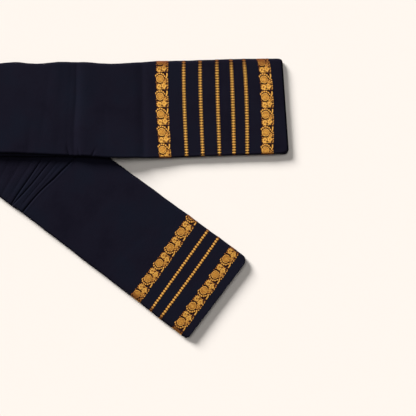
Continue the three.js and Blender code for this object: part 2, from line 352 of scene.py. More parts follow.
def arc(v, h, radius_v, radius_h, start, end, steps):
    angle = np.radians(np.linspace(start, end, steps + 1))[None, :]
    nv, nh = np.cos(angle) + 0 * v[:, None], np.sin(angle) + 0 * v[:, None]
    return v[:, None] + radius_v * nv, h + radius_h * nh, nv, nh


def joined(parts):
    return [np.concatenate(part, axis=1) for part in zip(*parts)]


# Places across a face, close together beside its loose edge
LOOSE_SHARES = [0.0, 0.01, 0.02, 0.03, 0.042, 0.056, 0.072]
FACE_SHARES = np.concatenate([LOOSE_SHARES, np.linspace(0.09, 0.985, 24)])
RETURN_SHARES = np.array([0.35, 0.7, 1.0])
ROUND_STEPS = 14
LIP_STEPS = 12


def rounds(lip, closed):
    """Where across the pack the closed side and the thick lip start to turn."""
    return CLOSED_SIDE - closed - CLOSED_ROUND, OPEN_SIDE + lip + LIP_ROUND


def outer_path(loose, turn, nose):
    """Both faces and both rounds, from the loose edge to the thick lip's inner side."""
    return [
        run(loose, turn, 0.0, -1.0, FACE_SHARES),
        arc(turn, STACK / 2, CLOSED_ROUND, STACK / 2, -90, 90, ROUND_STEPS),
        run(turn, nose, STACK, 1.0, 1 - FACE_SHARES[::-1]),
        arc(nose, 0.75 * STACK, LIP_ROUND, STACK / 4, 90, 270, LIP_STEPS),
    ]


def cloth_path(lip, thin, closed, inward=0.0):
    """The outermost cloth from its loose edge to the thick lip's hidden end, moved in by inward."""
    turn, nose = rounds(lip, closed)
    path = outer_path(OPEN_SIDE + thin + LIP_STEP, turn, nose)
    path.append(run(nose, nose + LIP_RETURN, STACK / 2, -1.0, RETURN_SHARES))
    v, h, nv, nh = joined(path)
    return v - nv * inward, h - nh * inward, nv, nh


def new_object(name, data):
    thing = bpy.data.objects.new(name, data)
    bpy.context.scene.collection.objects.link(thing)
    return thing


def mesh_object(name, points, quads, attributes, material):
    """A smooth closed mesh from points in millimetres; faces are turned outward together."""
    corners = points[quads]
    half = np.cross(corners[:, 1] - corners[:, 0], corners[:, 2] - corners[:, 0])
    other_half = np.cross(corners[:, 2] - corners[:, 0], corners[:, 3] - corners[:, 0])
    if np.einsum("ij,ij->", corners[:, 0], half + other_half) < 0:
        quads = quads[:, ::-1]
    mesh = bpy.data.meshes.new(name)
    mesh.vertices.add(len(points))
    mesh.vertices.foreach_set("co", (points * MM).astype(np.float32).ravel())
    mesh.loops.add(quads.size)
    mesh.loops.foreach_set("vertex_index", np.ascontiguousarray(quads, dtype=np.int32).ravel())
    mesh.polygons.add(len(quads))
    mesh.polygons.foreach_set("loop_start", np.arange(0, quads.size, 4, dtype=np.int32))
    mesh.polygons.foreach_set("use_smooth", np.ones(len(quads), dtype=bool))
    for key, values in attributes.items():
        layer = mesh.attributes.new(key, "FLOAT", "POINT")
        layer.data.foreach_set("value", np.ascontiguousarray(values, dtype=np.float32).ravel())
    mesh.update(calc_edges=True)
    mesh.validate()
    mesh.materials.append(material)
    return new_object(name, mesh)


def ring_quads(rings, count):
    ring, j = np.meshgrid(np.arange(rings - 1), np.arange(count), indexing="ij")
    k = (j + 1) % count
    here, beyond = ring * count, (ring + 1) * count
    return np.stack([here + j, here + k, beyond + k, beyond + j], -1).reshape(-1, 4)


END_ROWS = np.array([0.0, 0.8, 1.8, 3.2, 5.0, 7.5])  # back from each end, where its corners round
LEAST_ROW = 1.5  # between the last even row and those


def stations(end, spans):
    """Places along a stretch: evenly within each (from, to, step), and close together at its end."""
    last = end - END_ROWS[-1] - LEAST_ROW
    spread = [np.arange(low, min(high, last), step) for low, high, step in spans]
    return np.unique(np.round(np.concatenate([*spread, end - END_ROWS]), 3))


UPPER_SPANS = [(0.4, 100, 5.0), (100, 166, 2.5), (166, 232, 1.0), (232, 330, 2.5), (330, 600, 5.0)]
LOWER_SPANS = [(0.4, 100, 5.0), (100, 154, 1.5), (154, 208, 0.7), (208, 222, 1.5), (222, 600, 5.0)]


TURN_RINGS = 22


def cloth_rings(sections_of, upper_at, lower_at):
    """Every ring from the upper end, round the turn, to the lower end: points and attributes."""
    points, along, thread, face = [], [], [], []

    def add(stretch, at):
        v, h, zone = sections_of(*stretch.edges(at))
        a = np.broadcast_to(at[:, None], v.shape)
        points.append(stretch.place(a, v, h))
        along.append(stretch.sign * stretch.fabric_along(a, v, h))
        thread.append(stretch.sign * (stretch.along_arm(a, v, h) + (TURN_GAP / 2 + h) * math.pi / 2))
        face.append(zone)

    add(UPPER, upper_at[::-1])
    for share in np.linspace(0, 1, TURN_RINGS)[1:-1]:
        edges = [np.array([e]) for e in turn_edges(share)]
        v, h, zone = sections_of(*edges)
        angle = 90 - 180 * share
        points.append(place_turn(angle, v, h))
        along.append(np.zeros_like(v))
        thread.append(math.radians(angle) * (TURN_GAP / 2 + h))
        face.append(zone)
    add(LOWER, lower_at)
    return [np.concatenate(part, axis=0) for part in (points, along, thread, face)]


def wall_sections(lip, thin, closed):
    v0, h0, _, _ = cloth_path(lip, thin, closed)
    v1, h1, _, _ = cloth_path(lip, thin, closed, SHEET)
    return joined([(v0, h0, np.ones_like(v0)), (v1[:, ::-1], h1[:, ::-1], np.zeros_like(v1))])


def across_cloth(points):
    """Distance round each ring, for the weave."""
    step = np.linalg.norm(np.diff(points, axis=1, append=points[:, :1]), axis=-1)
    return np.cumsum(step, axis=1) - step


def build_cloth(material):
    upper_at = stations(UPPER_LENGTH, UPPER_SPANS)
    lower_at = stations(LOWER_LENGTH, LOWER_SPANS)
    points, along, thread, zone = cloth_rings(wall_sections, upper_at, lower_at)
    rings, count = points.shape[:2]
    half = count // 2
    w = across_cloth(points)
    w[:, half:] = w[:, :half][:, ::-1]
    quads = ring_quads(rings, count)
    j = np.arange(half - 1)
    caps = []
    for start in (0, (rings - 1) * count):
        outer, inner = start + j, start + count - 1 - j
        caps.append(np.stack([outer, outer + 1, inner - 1, inner], -1))
    quads = np.concatenate([quads, caps[0][:, ::-1], caps[1]])
    return mesh_object(
        "saree_cloth", points.reshape(-1, 3), quads,
        {"along": along, "thread": thread, "across": w, "relief_zone": zone}, material,
    )


# ---- The layers inside ----
# Thin lips on the open side: first and last layer that each one turns, and how far it stands back from
# the thin lips' edge. The last is a single loose edge.
LIPS = [(8, 15, 0.0), (4, 7, LIP_STEP), (2, 3, LIP_STEP + 1.2), (1, 1, LIP_STEP + 2.2)]
LIP_GAP = 0.05  # half the gap between two lips
NOSE = 1.4  # longest round of a thin lip
NOSE_STEPS = 6
THROAT = 5.0  # how deep the gap between two lips runs
PAST_RETURN = 0.4  # the layers fill the stack up to here past the thick lip's hidden end
UNDER_RETURN = 0.06


def layer_sections(lip, thin, closed):
    """The layers inside the outermost cloth: round them, and along each lip of the open side."""
    inward = SHEET + SEAM
    turn, nose = rounds(lip, closed)
    v, h, nv, nh = joined(outer_path(OPEN_SIDE + thin + LIPS[-1][2], turn, nose))
    rows_v, rows_h = [v - nv * inward], [h - nh * inward]
    hidden = (nose + LIP_RETURN + PAST_RETURN)[:, None]
    rows_v += [hidden, hidden]
    rows_h += [np.full_like(hidden, STACK / 2 + inward), np.full_like(hidden, STACK / 2 - UNDER_RETURN)]
    for first, last, back in LIPS:
        low = max(first * PITCH + LIP_GAP, inward)
        high = (last + 1) * PITCH - LIP_GAP
        half = (high - low) / 2
        angle = np.radians(np.linspace(90, 270, NOSE_STEPS + 1))[None, :]
        reach = min(half, NOSE)
        tip = (OPEN_SIDE + thin + back)[:, None] + reach
        rows_v.append(tip + reach * np.cos(angle))
        rows_h.append(low + half + half * np.sin(angle) + 0 * tip)
        if first > 1:
            throat = (OPEN_SIDE + thin)[:, None] + THROAT
            rows_v.append(throat)
            rows_h.append(np.full_like(throat, low - LIP_GAP))
    v, h = joined(zip(rows_v, rows_h))
    return v, h, np.zeros_like(v)


LEAVES_REACH = 14.0  # the last part of each end, where every layer is made


def build_layers(material):
    upper_at = stations(UPPER_LENGTH - LEAVES_REACH, UPPER_SPANS)
    lower_at = stations(LOWER_LENGTH - LEAVES_REACH, LOWER_SPANS)
    points, along, thread, zone = cloth_rings(layer_sections, upper_at, lower_at)
    rings, count = points.shape[:2]
    quads = ring_quads(rings, count)
    flat = points.reshape(-1, 3)
    middles = np.array([flat[:count].mean(axis=0), flat[-count:].mean(axis=0)])
    attributes = {"along": along, "thread": thread, "across": across_cloth(points), "relief_zone": zone}
    attributes = {key: np.append(a.ravel(), [a[0, 0], a[-1, -1]]) for key, a in attributes.items()}
    caps = []
    for start, centre in ((0, len(flat)), ((rings - 1) * count, len(flat) + 1)):
        for j in range(0, count - 1, 2):
            a, b, c = start + j, start + j + 1, start + (j + 2) % count
            caps.append([centre, c, b, a] if start == 0 else [centre, a, b, c])
    quads = np.concatenate([quads, np.array(caps)])
    return mesh_object("saree_layers", np.concatenate([flat, middles]), quads, attributes, material)


# ---- Every layer at the two ends ----
LEAF = 0.22  # thickness that one layer shows at the ends
LEAF_NOSE = 1.0  # a layer turns this far inside its lip's edge
LEAF_STEPS = 7  # places across one layer
CLOSED_LOOP = 0.35  # least reach of a layer's loop on the closed side
OPEN_LOOP = 0.3  # and on the open side, where a loop is a little longer than round
OPEN_LOOP_STRETCH = 1.1
# Back from the end: rows of the ribbon. Its last part is uneven, as cut layers are.
LEAF_ROWS = np.array([LEAVES_REACH + 1.5, 9.0, 6.0, 4.0, 2.6, 1.5, 0.9])
UNEVEN_FROM, UNEVEN_TO = 6.0, 0.9
UNEVEN_BACK = 0.5
# height, turn for each point in radians, phase
UNEVEN_WAVES = [(0.35, 0.09, 0), (0.28, 0.31, 2), (0.25, 0.023, 1)]


def layer_order():
    """The order in which the cloth passes through the stack, from one loose edge to the other."""
    opened = {}
    for first, last in [(LAYERS // 2, LAYERS - 1)] + [lip[:2] for lip in LIPS[:-1]]:
        for k in range(first, last + 1):
            opened[k] = first + last - k
    order = [0, LAYERS - 1]
    while order[-1] in opened:
        k = opened[order[-1]]
        order += [k, LAYERS - 1 - k]
    return order


def end_route(lip, thin, closed):
    """The folded cloth's middle line in one section, from one loose edge to the other: v and h."""
    turn, nose = rounds(lip, closed)
    backs = {0: LIP_STEP, **{first: back for first, _, back in LIPS}}
    order = layer_order()
    v, h = [], []

    def height(k):
        return (k + 0.5) * PITCH

    def open_edge(k):
        if k >= LAYERS // 2:
            return nose
        return OPEN_SIDE + thin + backs[max(first for first in backs if first <= k)] + LEAF_NOSE

    for n, k in enumerate(order):
        towards_closed = n % 2 == 0
        ends = (open_edge(k), turn) if towards_closed else (turn, open_edge(k))
        for share in np.linspace(0, 1, LEAF_STEPS):
            v.append(ends[0] + (ends[1] - ends[0]) * share)
            h.append(height(k))
        if n + 1 == len(order):
            break
        other = order[n + 1]
        middle, radius = (height(k) + height(other)) / 2, (height(other) - height(k)) / 2
        count = 3 + int(abs(radius))
        for a in np.linspace(-90, 90, count + 2)[1:-1]:
            c, s = math.cos(math.radians(a)), math.sin(math.radians(a))
            if towards_closed:
                v.append(turn + (abs(radius) * CLOSED_ROUND / (STACK / 2) + CLOSED_LOOP) * c)
            else:
                v.append(open_edge(k) - (abs(radius) * OPEN_LOOP_STRETCH + OPEN_LOOP) * c)
            h.append(middle + radius * s)
    return np.array(v), np.array(h)


def leaf_line(stretch, at):
    """The folded line at one place, kept inside the outermost cloth, and its normal."""
    v, h = end_route(*(float(edge[0]) for edge in stretch.edges(np.array([at]))))
    h = np.clip(h, SHEET + SEAM + LEAF / 2, STACK - SHEET - SEAM - LEAF / 2)
    dv, dh = np.gradient(v), np.gradient(h)
    size = np.maximum(np.hypot(dv, dh), 1e-6)
    return v, h, -dh / size, dv / size


def build_leaves(name, stretch, material):
    """The ends of all the layers inside the outermost cloth, as one folded ribbon."""
    lines_at = [leaf_line(stretch, stretch.length - back) for back in LEAF_ROWS]
    count, n = len(lines_at[0][0]), len(LEAF_ROWS)
    index = np.arange(count)
    uneven = sum(height * np.sin(index * rate + phase) for height, rate, phase in UNEVEN_WAVES)
    points, along = [], []
    for back, (v, h, nv, nh) in zip(LEAF_ROWS, lines_at):
        at = stretch.length - back - (uneven + UNEVEN_BACK) * smoothstep(-back, -UNEVEN_FROM, -UNEVEN_TO)
        for side in (LEAF / 2, -LEAF / 2):
            hv, hh = v + nv * side, h + nh * side
            points.append(stretch.place(at, hv, hh))
            along.append(stretch.sign * stretch.fabric_along(at, hv, hh))
    flat = np.concatenate(points)
    rows = np.arange(2 * n * count).reshape(n, 2, count)
    quads = []

    def add(a, b, c, d, turned):
        faces = np.stack([a, b, c, d], -1)
        quads.append(faces[:, ::-1] if turned else faces)

    for row, after in zip(rows[:-1], rows[1:]):
        for side in (0, 1):
            add(row[side, :-1], row[side, 1:], after[side, 1:], after[side, :-1], side == 1)
    for (near, far), turned in ((rows[0], True), (rows[-1], False)):
        add(near[:-1], near[1:], far[1:], far[:-1], turned)
    for j, turned in ((0, False), (-1, True)):
        near, far = rows[:, 0, j], rows[:, 1, j]
        add(near[:-1], far[:-1], far[1:], near[1:], turned)
    along = np.concatenate(along)
    attributes = {"along": along, "thread": along, "across": flat[:, 1], "relief_zone": np.zeros(len(flat))}
    return mesh_object(name, flat, np.concatenate(quads), attributes, material)


# ---- Woven relief ----
# One repeat of the border, charted in millimetres: x from the band's inner edge towards the saree's
# edge, y along the band from the crest's end (0) to the lobes' end (CHART_PITCH). A traditional border
# of round fruits, each with a beaded crest, a curled stem and two lobes.
CHART_PITCH = 32.0
CHART_WIDTH = 23.0

# The round fruit: a flat disc with a raised rim. Height and tone are what a shape shows at its middle.
FRUIT = {"x": 8.1, "y": 11.9, "radius": 7.2, "height": 0.26, "tone": 0.74}
RIM = {"radius": 6.3, "half_width": 0.9, "height": 0.32, "tone": 0.9}
# Grooves woven round it: radius, half width, depth
FRUIT_GROOVES = [(5.1, 0.55, 0.13), (2.6, 0.5, 0.06)]
# A row of beads round one side of it, from and to these degrees, the ring that joins them, and a stem
# from each to the fruit
CREST = {"radius": 10.1, "from": -143.0, "to": -30.0, "beads": 6, "bead": 1.8, "height": 0.32, "tone": 0.98}
CREST_RING = {"half_width": 1.15, "height": 0.18, "tone": 0.66}
CREST_STEM = {"half_width": 0.55, "height": 0.12, "tone": 0.45}

# x, y, radius, height, tone of round beads
BEADS = [
    [0.9, 8.6, 1.2, 0.22, 0.8], [1.1, 17.4, 1.3, 0.22, 0.7], [21.3, 3, 1.6, 0.32, 1],
    [19.6, 9.9, 1.7, 0.32, 1], [22, 12.4, 1.5, 0.32, 0.95], [19.1, 14.3, 1.5, 0.28, 0.9],
    [22.4, 16.4, 1.5, 0.32, 1], [19.3, 18, 1.6, 0.3, 0.95], [22.5, 19.6, 1.2, 0.28, 0.8],
    [22.4, 23.4, 1.6, 0.32, 1], [20, 24.5, 1.4, 0.28, 0.9], [22.4, 27.6, 1.4, 0.32, 1],
    [21.8, 30, 1.2, 0.28, 0.9], [17, 12.6, 1.2, 0.26, 0.8], [16.4, 16.4, 1.5, 0.28, 0.92],
    [14.4, 19.2, 1.6, 0.28, 0.85], [2.4, 21.2, 1.5, 0.24, 0.74], [5.3, 21.8, 1.5, 0.28, 0.85],
    [8.3, 22, 1.5, 0.26, 0.8], [11.2, 21.4, 1.4, 0.28, 0.88], [1.9, 24.6, 1.5, 0.24, 0.72],
    [2.4, 28, 1.6, 0.26, 0.82], [4.6, 30.1, 1.5, 0.3, 0.95], [7.6, 30.7, 1.5, 0.3, 1],
    [10.5, 30.1, 1.4, 0.28, 0.9], [13.4, 29.8, 1.5, 0.28, 0.88], [16.4, 29.6, 1.6, 0.3, 0.95],
]
# x, y to x, y, radius, height, tone of rounded bars
BARS = [
    [21.3, 3.4, 21.2, 7, 1.5, 0.3, 0.92], [21.2, 7, 19.4, 10.2, 1.4, 0.28, 0.88],
    [16.8, 12.2, 19, 18.2, 1.6, 0.2, 0.72], [15.2, 16.4, 17.6, 20.8, 1.9, 0.22, 0.78],
    [20.6, 12, 21.4, 20, 1.6, 0.13, 0.55], [20.4, 22, 20.8, 29.6, 2, 0.14, 0.6],
]
# x, y, ring radius, half width, height, tone of the lobes' rings, and the height of what they enclose
LOBES = [
    [6.8, 25.9, 3.2, 1.7, 0.3, 0.94, 0.19], [15.6, 24.4, 3.1, 1.8, 0.3, 0.92, 0.2],
]
# x, y to x, y, radius of gaps that show the ground
GAPS = [
    [18.2, 2.8, 18.6, 5.4, 0.95], [20.5, 14.2, 20.9, 14.8, 0.6], [20.9, 21.4, 21.1, 21.8, 1.05],
    [20.6, 27.4, 20.8, 27.8, 0.85], [4.4, 19.6, 6.6, 20.1, 0.5], [9.4, 20.1, 11.6, 19.5, 0.5],
    [5.7, 26.2, 5.8, 26.3, 0.62], [9.9, 27.4, 10, 27.8, 0.6], [14.4, 15.2, 15.2, 13.6, 0.32],
    [11.2, 24, 11.3, 24.4, 0.45], [17.9, 21.9, 18.1, 22.1, 0.42],
]
# Low brown threads between one repeat and the next: x, y to x, y, radius
PATCH = {"height": 0.07, "tone": 0.22}
PATCHES = [
    [16.8, 31.4, 22.4, 31, 1.7], [17.2, 0.4, 20, 1.4, 1.4], [16.4, 4.6, 18.6, 8.2, 0.9],
    [1.6, 31.6, 14, 31.8, 0.8], [1.8, 0.6, 5, 0.5, 0.7],
]
# The lower stretch shows the cloth's other face, where the gap beside the fruit is one long slit.
OTHER_FACE_GAPS = [[4.4, 20.2, 11, 20, 0.75]]

# Lines of beads on a thread: place across the line and tone of each bead, their radius and height, how
# wide and how short they are against it, how square their profile is, and the line's sway to and fro.
STRINGS = {
    "pairs": {
        "beads": [(-2.0, 1.8), (2.0, 1.8), (0.0, 1.7)], "radius": 1.4, "height": 0.37,
        "wide": 1.0, "short": 1.34, "power": 2.4, "sway": (0.12, 0.35),
        "thread": {"half_width": 0.8, "height": 0.2, "tone": 0.9}, "thread_power": 4,
    },
    "beads": {
        "beads": [(0.0, 0.98)], "radius": 2.52, "height": 0.36,
        "wide": 1.08, "short": 1.0, "power": 2.6, "sway": (0.12, 0.31),
        "thread": {"half_width": 1.7, "height": 0.11, "tone": 0.42}, "thread_power": 2.0,
    },
}

# How square a shape's profile is: 2 is a parabola, more is flatter on top and steeper at its sides.
BEAD_POWER, BAR_POWER, FRUIT_POWER = 2.6, 3, 12

SUNK = -0.14  # the relief's lowest parts lie below the cloth's face
GAP_DEPTH = 0.16
GROUND_TONE = 0.05  # where no shape lies


def to_bar(x, y, x0, y0, x1, y1):
    """Distance to a line between two points."""
    dx, dy = x1 - x0, y1 - y0
    t = np.clip(((x - x0) * dx + (y - y0) * dy) / max(dx * dx + dy * dy, 1e-9), 0, 1)
    return np.hypot(x - x0 - t * dx, y - y0 - t * dy)


def dome(distance, radius, height, power=2.0):
    return height * (1 - (distance / radius) ** power)


class Relief:
    """Height above the cloth, and tone, of shapes laid over each other: the highest one shows."""

    def __init__(self, shape):
        self.height, self.tone = np.full(shape, SUNK), np.full(shape, GROUND_TONE)

    def add(self, profile, tone):
        higher = profile > self.height
        self.height = np.where(higher, profile, self.height)
        self.tone = np.where(higher, tone, self.tone)

    def add_ridge(self, distance, shape, power=2.0):
        self.add(dome(distance, shape["half_width"], shape["height"], power), shape["tone"])

    def result(self):
        return np.maximum(self.height, SUNK), self.tone


def motif(x, y, other_face):
    """The border at places of its chart."""
    relief = Relief(x.shape)
    for *bar, radius in PATCHES:
        relief.add(dome(to_bar(x, y, *bar), radius, PATCH["height"]), PATCH["tone"])
    for *bar, radius, height, tone in BARS:
        relief.add(dome(to_bar(x, y, *bar), radius, height, BAR_POWER), tone)
    for middle_x, middle_y, ring, half, height, tone, inside in LOBES:
        away = np.hypot(x - middle_x, y - middle_y)
        lobe = dome(away - ring, half, height)
        relief.add(np.where(away < ring, np.maximum(lobe, inside), lobe), tone)
    for middle_x, middle_y, radius, height, tone in BEADS:
        relief.add(dome(np.hypot(x - middle_x, y - middle_y), radius, height, BEAD_POWER), tone)
    fruit_x, fruit_y = FRUIT["x"], FRUIT["y"]
    away = np.hypot(x - fruit_x, y - fruit_y)
    fruit = dome(away, FRUIT["radius"], FRUIT["height"], FRUIT_POWER)
    for radius, half, depth in FRUIT_GROOVES:
        fruit = fruit - depth * np.exp(-(((away - radius) / half) ** 2))
    relief.add(fruit, FRUIT["tone"])
    relief.add_ridge(away - RIM["radius"], RIM)
    angles = np.radians(np.linspace(CREST["from"], CREST["to"], CREST["beads"]))
    angle = np.arctan2(y - fruit_y, x - fruit_x)
    ring = dome(away - CREST["radius"], CREST_RING["half_width"], CREST_RING["height"])
    ring = np.where((angle > angles[0]) & (angle < angles[-1]), ring, SUNK)
    relief.add(ring, CREST_RING["tone"])
    for a in angles:
        bead_x = fruit_x + CREST["radius"] * math.cos(a)
        bead_y = fruit_y + CREST["radius"] * math.sin(a)
        bead = dome(np.hypot(x - bead_x, y - bead_y), CREST["bead"], CREST["height"], BEAD_POWER)
        relief.add(bead, CREST["tone"])
        relief.add_ridge(to_bar(x, y, bead_x, bead_y, fruit_x, fruit_y), CREST_STEM)
    for *bar, radius in GAPS + (OTHER_FACE_GAPS if other_face else []):
        relief.height = np.minimum(relief.height, -dome(to_bar(x, y, *bar), radius, GAP_DEPTH))
    return relief.result()


def string(kind, x, y):
    """A thread with beads, x from its middle and y from the middle of the nearest beads."""
    look = STRINGS[kind]
    relief = Relief(x.shape)
    relief.add_ridge(np.abs(x), look["thread"], look["thread_power"])
    for middle, tone in look["beads"]:
        away = np.hypot((x - middle) / look["wide"], y * look["short"])
        relief.add(dome(away, look["radius"], look["height"], look["power"]), tone)
    return relief.result()


FULL_HEIGHT = 0.28  # where a shape shows its whole tone, free of painted shade
FOOT_SHADE = 0.06  # painted shade: the share of a shape's tone that is left where it meets the cloth
SHADE_POWER = 1.2


def shade(height, tone):
    """Painted shade: a shape keeps its whole tone on its top and is darker down its sides, by its height.
    """
    share = np.clip(height / FULL_HEIGHT, 0, 1.1) ** SHADE_POWER
    return tone * (FOOT_SHADE + (1 - FOOT_SHADE) * share)


# How far in from the open and closed sides painted shade darkens the gold to coppery brown where the pack
# rounds away, and the share of real coppery tint everywhere. True is the upper stretch.
EDGE_SHADE_AND_COPPER = {True: (5.0, 24.0, 0.0), False: (18.0, 9.0, 0.22)}
FINE = {"motif": 0.5, "pairs": 0.44, "beads": 0.44}  # distance between points
SLAB_BACK = -0.3  # the relief's hidden back lies in the cloth's wall
SLAB_MARGIN = 0.9  # on each side of a line
CLOSED_MEAN = (CLOSED_ROUND + STACK / 2) / 2  # mean radius of the closed side's round
LIP_MEAN = (LIP_ROUND + STACK / 4) / 2
WRAP_CLOSED = math.radians(120)  # how far the relief follows each round
WRAP_LIP = math.radians(175)
FROM_LOOSE_EDGE = 0.3
ROUNDS = 6  # of closing in on where a place of the cloth lies
# Unevenness of the weaving: size, and turn in radians for each repeat or millimetre
SWAY, SWAY_REPEATS, SWAY_WITHIN = 0.6, (0.25, 2.1), (0.12, 0.8)
RIPPLE = (0.2, 0.9, 1.7)


def on_face(stretch, f, t):
    """(at, v, h, nv, nh) on the outermost cloth, f along the cloth and t across it, round its edges."""
    at, v = f.copy(), np.clip(t, OPEN_SIDE, CLOSED_SIDE)
    for _ in range(ROUNDS):
        lip, thin, closed = stretch.edges(at)
        turn, nose = rounds(lip, closed)
        round_closed = np.clip((t - turn) / CLOSED_MEAN, 0, math.pi)
        nv, nh = np.sin(round_closed), stretch.sign * np.cos(round_closed)
        v = np.where(t > turn, turn + CLOSED_ROUND * nv, t)
        h = STACK / 2 + STACK / 2 * nh
        if stretch.upper:
            round_lip = np.clip((nose - t) / LIP_MEAN, 0, math.pi)
            lv, lh = -np.sin(round_lip), np.cos(round_lip)
            v = np.where(t < nose, nose + LIP_ROUND * lv, v)
            h = np.where(t < nose, 0.75 * STACK + STACK / 4 * lh, h)
            nv, nh = np.where(t < nose, lv, nv), np.where(t < nose, lh, nh)
        else:
            v = np.maximum(v, OPEN_SIDE + thin + LIP_STEP)
        u = f + stretch.drift(f, v)
        at = at + u - stretch.along_arm(at, v, h)
    return at, v, h, nv, nh


def woven_shape(line, upper, x, t):
    """Height and tone of one band or line, x along the stretch from its middle and t across it."""
    if line.kind != "motif":
        size, rate = STRINGS[line.kind]["sway"]
        x = x + size * np.sin(t * rate + line.middle)
        y = (t - line.first + line.pitch / 2) % line.pitch - line.pitch / 2
        return string(line.kind, x, y)
    y = (line.first - t if upper else t - line.first) * CHART_PITCH / line.pitch + FRUIT["y"]
    number = np.floor(y / CHART_PITCH)
    y = y - number * CHART_PITCH
    sway = SWAY_REPEATS[0] * np.sin(number * SWAY_REPEATS[1] + line.middle)
    sway = sway + SWAY_WITHIN[0] * np.sin(y * SWAY_WITHIN[1] + number)
    chart_x = (x + line.width / 2) * CHART_WIDTH / line.width + sway * SWAY
    chart_y = y + RIPPLE[0] * np.sin(x * RIPPLE[1] + number * RIPPLE[2])
    return motif(chart_x, chart_y, not upper)


def build_relief(stretch, line, material):
    """One woven band or line as a thin closed slab, from the open side round the closed side."""
    lip, thin, closed = (float(edge[0]) for edge in stretch.edges(np.array([line.middle])))
    turn, nose = rounds(lip, closed)
    high = turn + WRAP_CLOSED * CLOSED_MEAN
    if stretch.upper:
        low = nose - WRAP_LIP * LIP_MEAN
    else:
        low = OPEN_SIDE + thin + LIP_STEP + FROM_LOOSE_EDGE
    fine, reach = FINE[line.kind], line.width / 2 + SLAB_MARGIN
    xs = np.linspace(-reach, reach, int(2 * reach / fine) + 1)
    ts = np.linspace(low, high, int((high - low) / fine) + 1)
    x, t = np.meshgrid(xs, ts, indexing="ij")
    height, tone = woven_shape(line, stretch.upper, x, t)
    border = np.ones(x.shape, dtype=bool)
    border[1:-1, 1:-1] = False
    height = np.where(border, SUNK, height)
    f = line.middle + x
    at, v, h, nv, nh = on_face(stretch, f, t)
    top = stretch.place(at, v + nv * height, h + nh * height)
    back = stretch.place(at, v + nv * SLAB_BACK, h + nh * SLAB_BACK)
    index = np.arange(x.size).reshape(x.shape)
    grid = np.stack([index[:-1, :-1], index[1:, :-1], index[1:, 1:], index[:-1, 1:]], -1).reshape(-1, 4)
    rim = np.concatenate([index[0, :], index[1:, -1], index[-1, -2::-1], index[-2:0:-1, 0]])
    after = np.roll(rim, -1)
    sides = np.stack([rim, after, after + x.size, rim + x.size], -1)
    # Painted shade: the gold turns coppery towards the pack's rounded sides; least is a real coppery tint
    # over the whole stretch.
    reach_open, reach_closed, least = EDGE_SHADE_AND_COPPER[stretch.upper]
    from_open = smoothstep(t - OPEN_SIDE - (lip if stretch.upper else thin), 0, reach_open)
    from_closed = smoothstep(CLOSED_SIDE - closed - t, 0, reach_closed)
    edge = np.maximum(1 - from_open * from_closed, least)
    # The tone attribute holds the relief's painted shade from shade().
    attributes = {"tone": shade(height, tone), "edge": edge, "along": stretch.sign * f, "across": t}
    attributes = {key: np.concatenate([values.ravel()] * 2) for key, values in attributes.items()}
    points = np.concatenate([top.reshape(-1, 3), back.reshape(-1, 3)])
    quads = np.concatenate([grid, grid[:, ::-1] + x.size, sides])
    return mesh_object(line.name, points, quads, attributes, material)


# ---- Materials ----
class Nodes:
    """Short calls for a material's node tree."""

    def __init__(self, name):
        self.material = bpy.data.materials.new(name)
        self.material.use_nodes = True
        self.tree = self.material.node_tree

    def fill(self, node, sockets):
        """Set a node's inputs to numbers or colours, or link them to other nodes' outputs."""
        for name, value in sockets.items():
            socket = node.inputs[name]
            if isinstance(value, (int, float)):
                socket.default_value = value
            elif isinstance(value, tuple):
                socket.default_value = (*value, 1.0)
            else:
                self.tree.links.new(value, socket)
        return node

    def surface(self, sockets):
        self.fill(self.tree.nodes["Principled BSDF"], sockets)

    def node(self, kind, sockets):
        return self.fill(self.tree.nodes.new("ShaderNode" + kind), sockets)

    def attribute(self, name):
        node = self.node("Attribute", {})
        node.attribute_name = name
        return node.outputs["Fac"]

    def math(self, operation, a, b):
        node = self.node("Math", {0: a, 1: b})
        node.operation = operation
        return node.outputs[0]

    def times(self, a, b):
        return self.math("MULTIPLY", a, b)

    def plus(self, a, b):
        return self.math("ADD", a, b)

    def ripple(self, place, per_mm):
        return self.math("SINE", self.times(place, 2 * math.pi * per_mm), 0.0)

    def position(self):
        return self.node("TexCoord", {}).outputs["Object"]

    def noise(self, vector, scale, detail=3.0, roughness=0.55):
        sockets = {"Vector": vector, "Scale": scale, "Detail": detail, "Roughness": roughness}
        return self.node("TexNoise", sockets).outputs["Fac"]

    def plane(self, x, y, x_scale, y_scale):
        """A place on the cloth, from its distances along and across."""
        return self.node("CombineXYZ", {0: self.times(x, x_scale), 1: self.times(y, y_scale)}).outputs[0]

    def mix(self, share, a, b):
        node = self.node("Mix", {})
        node.data_type = "RGBA"
        factor, first, second, result = 0, 6, 7, 2  # where this kind of node has them
        return self.fill(node, {factor: share, first: a, second: b}).outputs[result]

    def ramp(self, share, stops):
        node = self.node("ValToRGB", {"Fac": share})
        elements = node.color_ramp.elements
        while len(elements) < len(stops):
            elements.new(0.5)
        for element, (place, colour) in zip(elements, stops):
            element.position = place
            element.color = (*colour, 1.0)
        return node.outputs["Color"]

    def bump(self, height, distance, strength, normal=None):
        sockets = {"Height": height, "Distance": distance, "Strength": strength}
        if normal is not None:
            sockets["Normal"] = normal
        return self.node("Bump", sockets).outputs["Normal"]

    def between(self, value, low, high, soft):
        """1 where value lies between low and high."""
        rise = {"Value": value, "From Min": low - soft, "From Max": low + soft}
        fall = {"Value": value, "From Min": high + soft, "From Max": high - soft}
        return self.times(*(self.node("MapRange", sockets).outputs[0] for sockets in (rise, fall)))


THREADS_PER_MM = 2.6
NAVY = (0.0072, 0.0064, 0.0133)
NAVY_DARK = (0.004, 0.0034, 0.0085)
NAVY_BLUER = (0.006192, 0.00704, 0.014364)
GROUND = (0.009, 0.003, 0.0036)  # under the relief
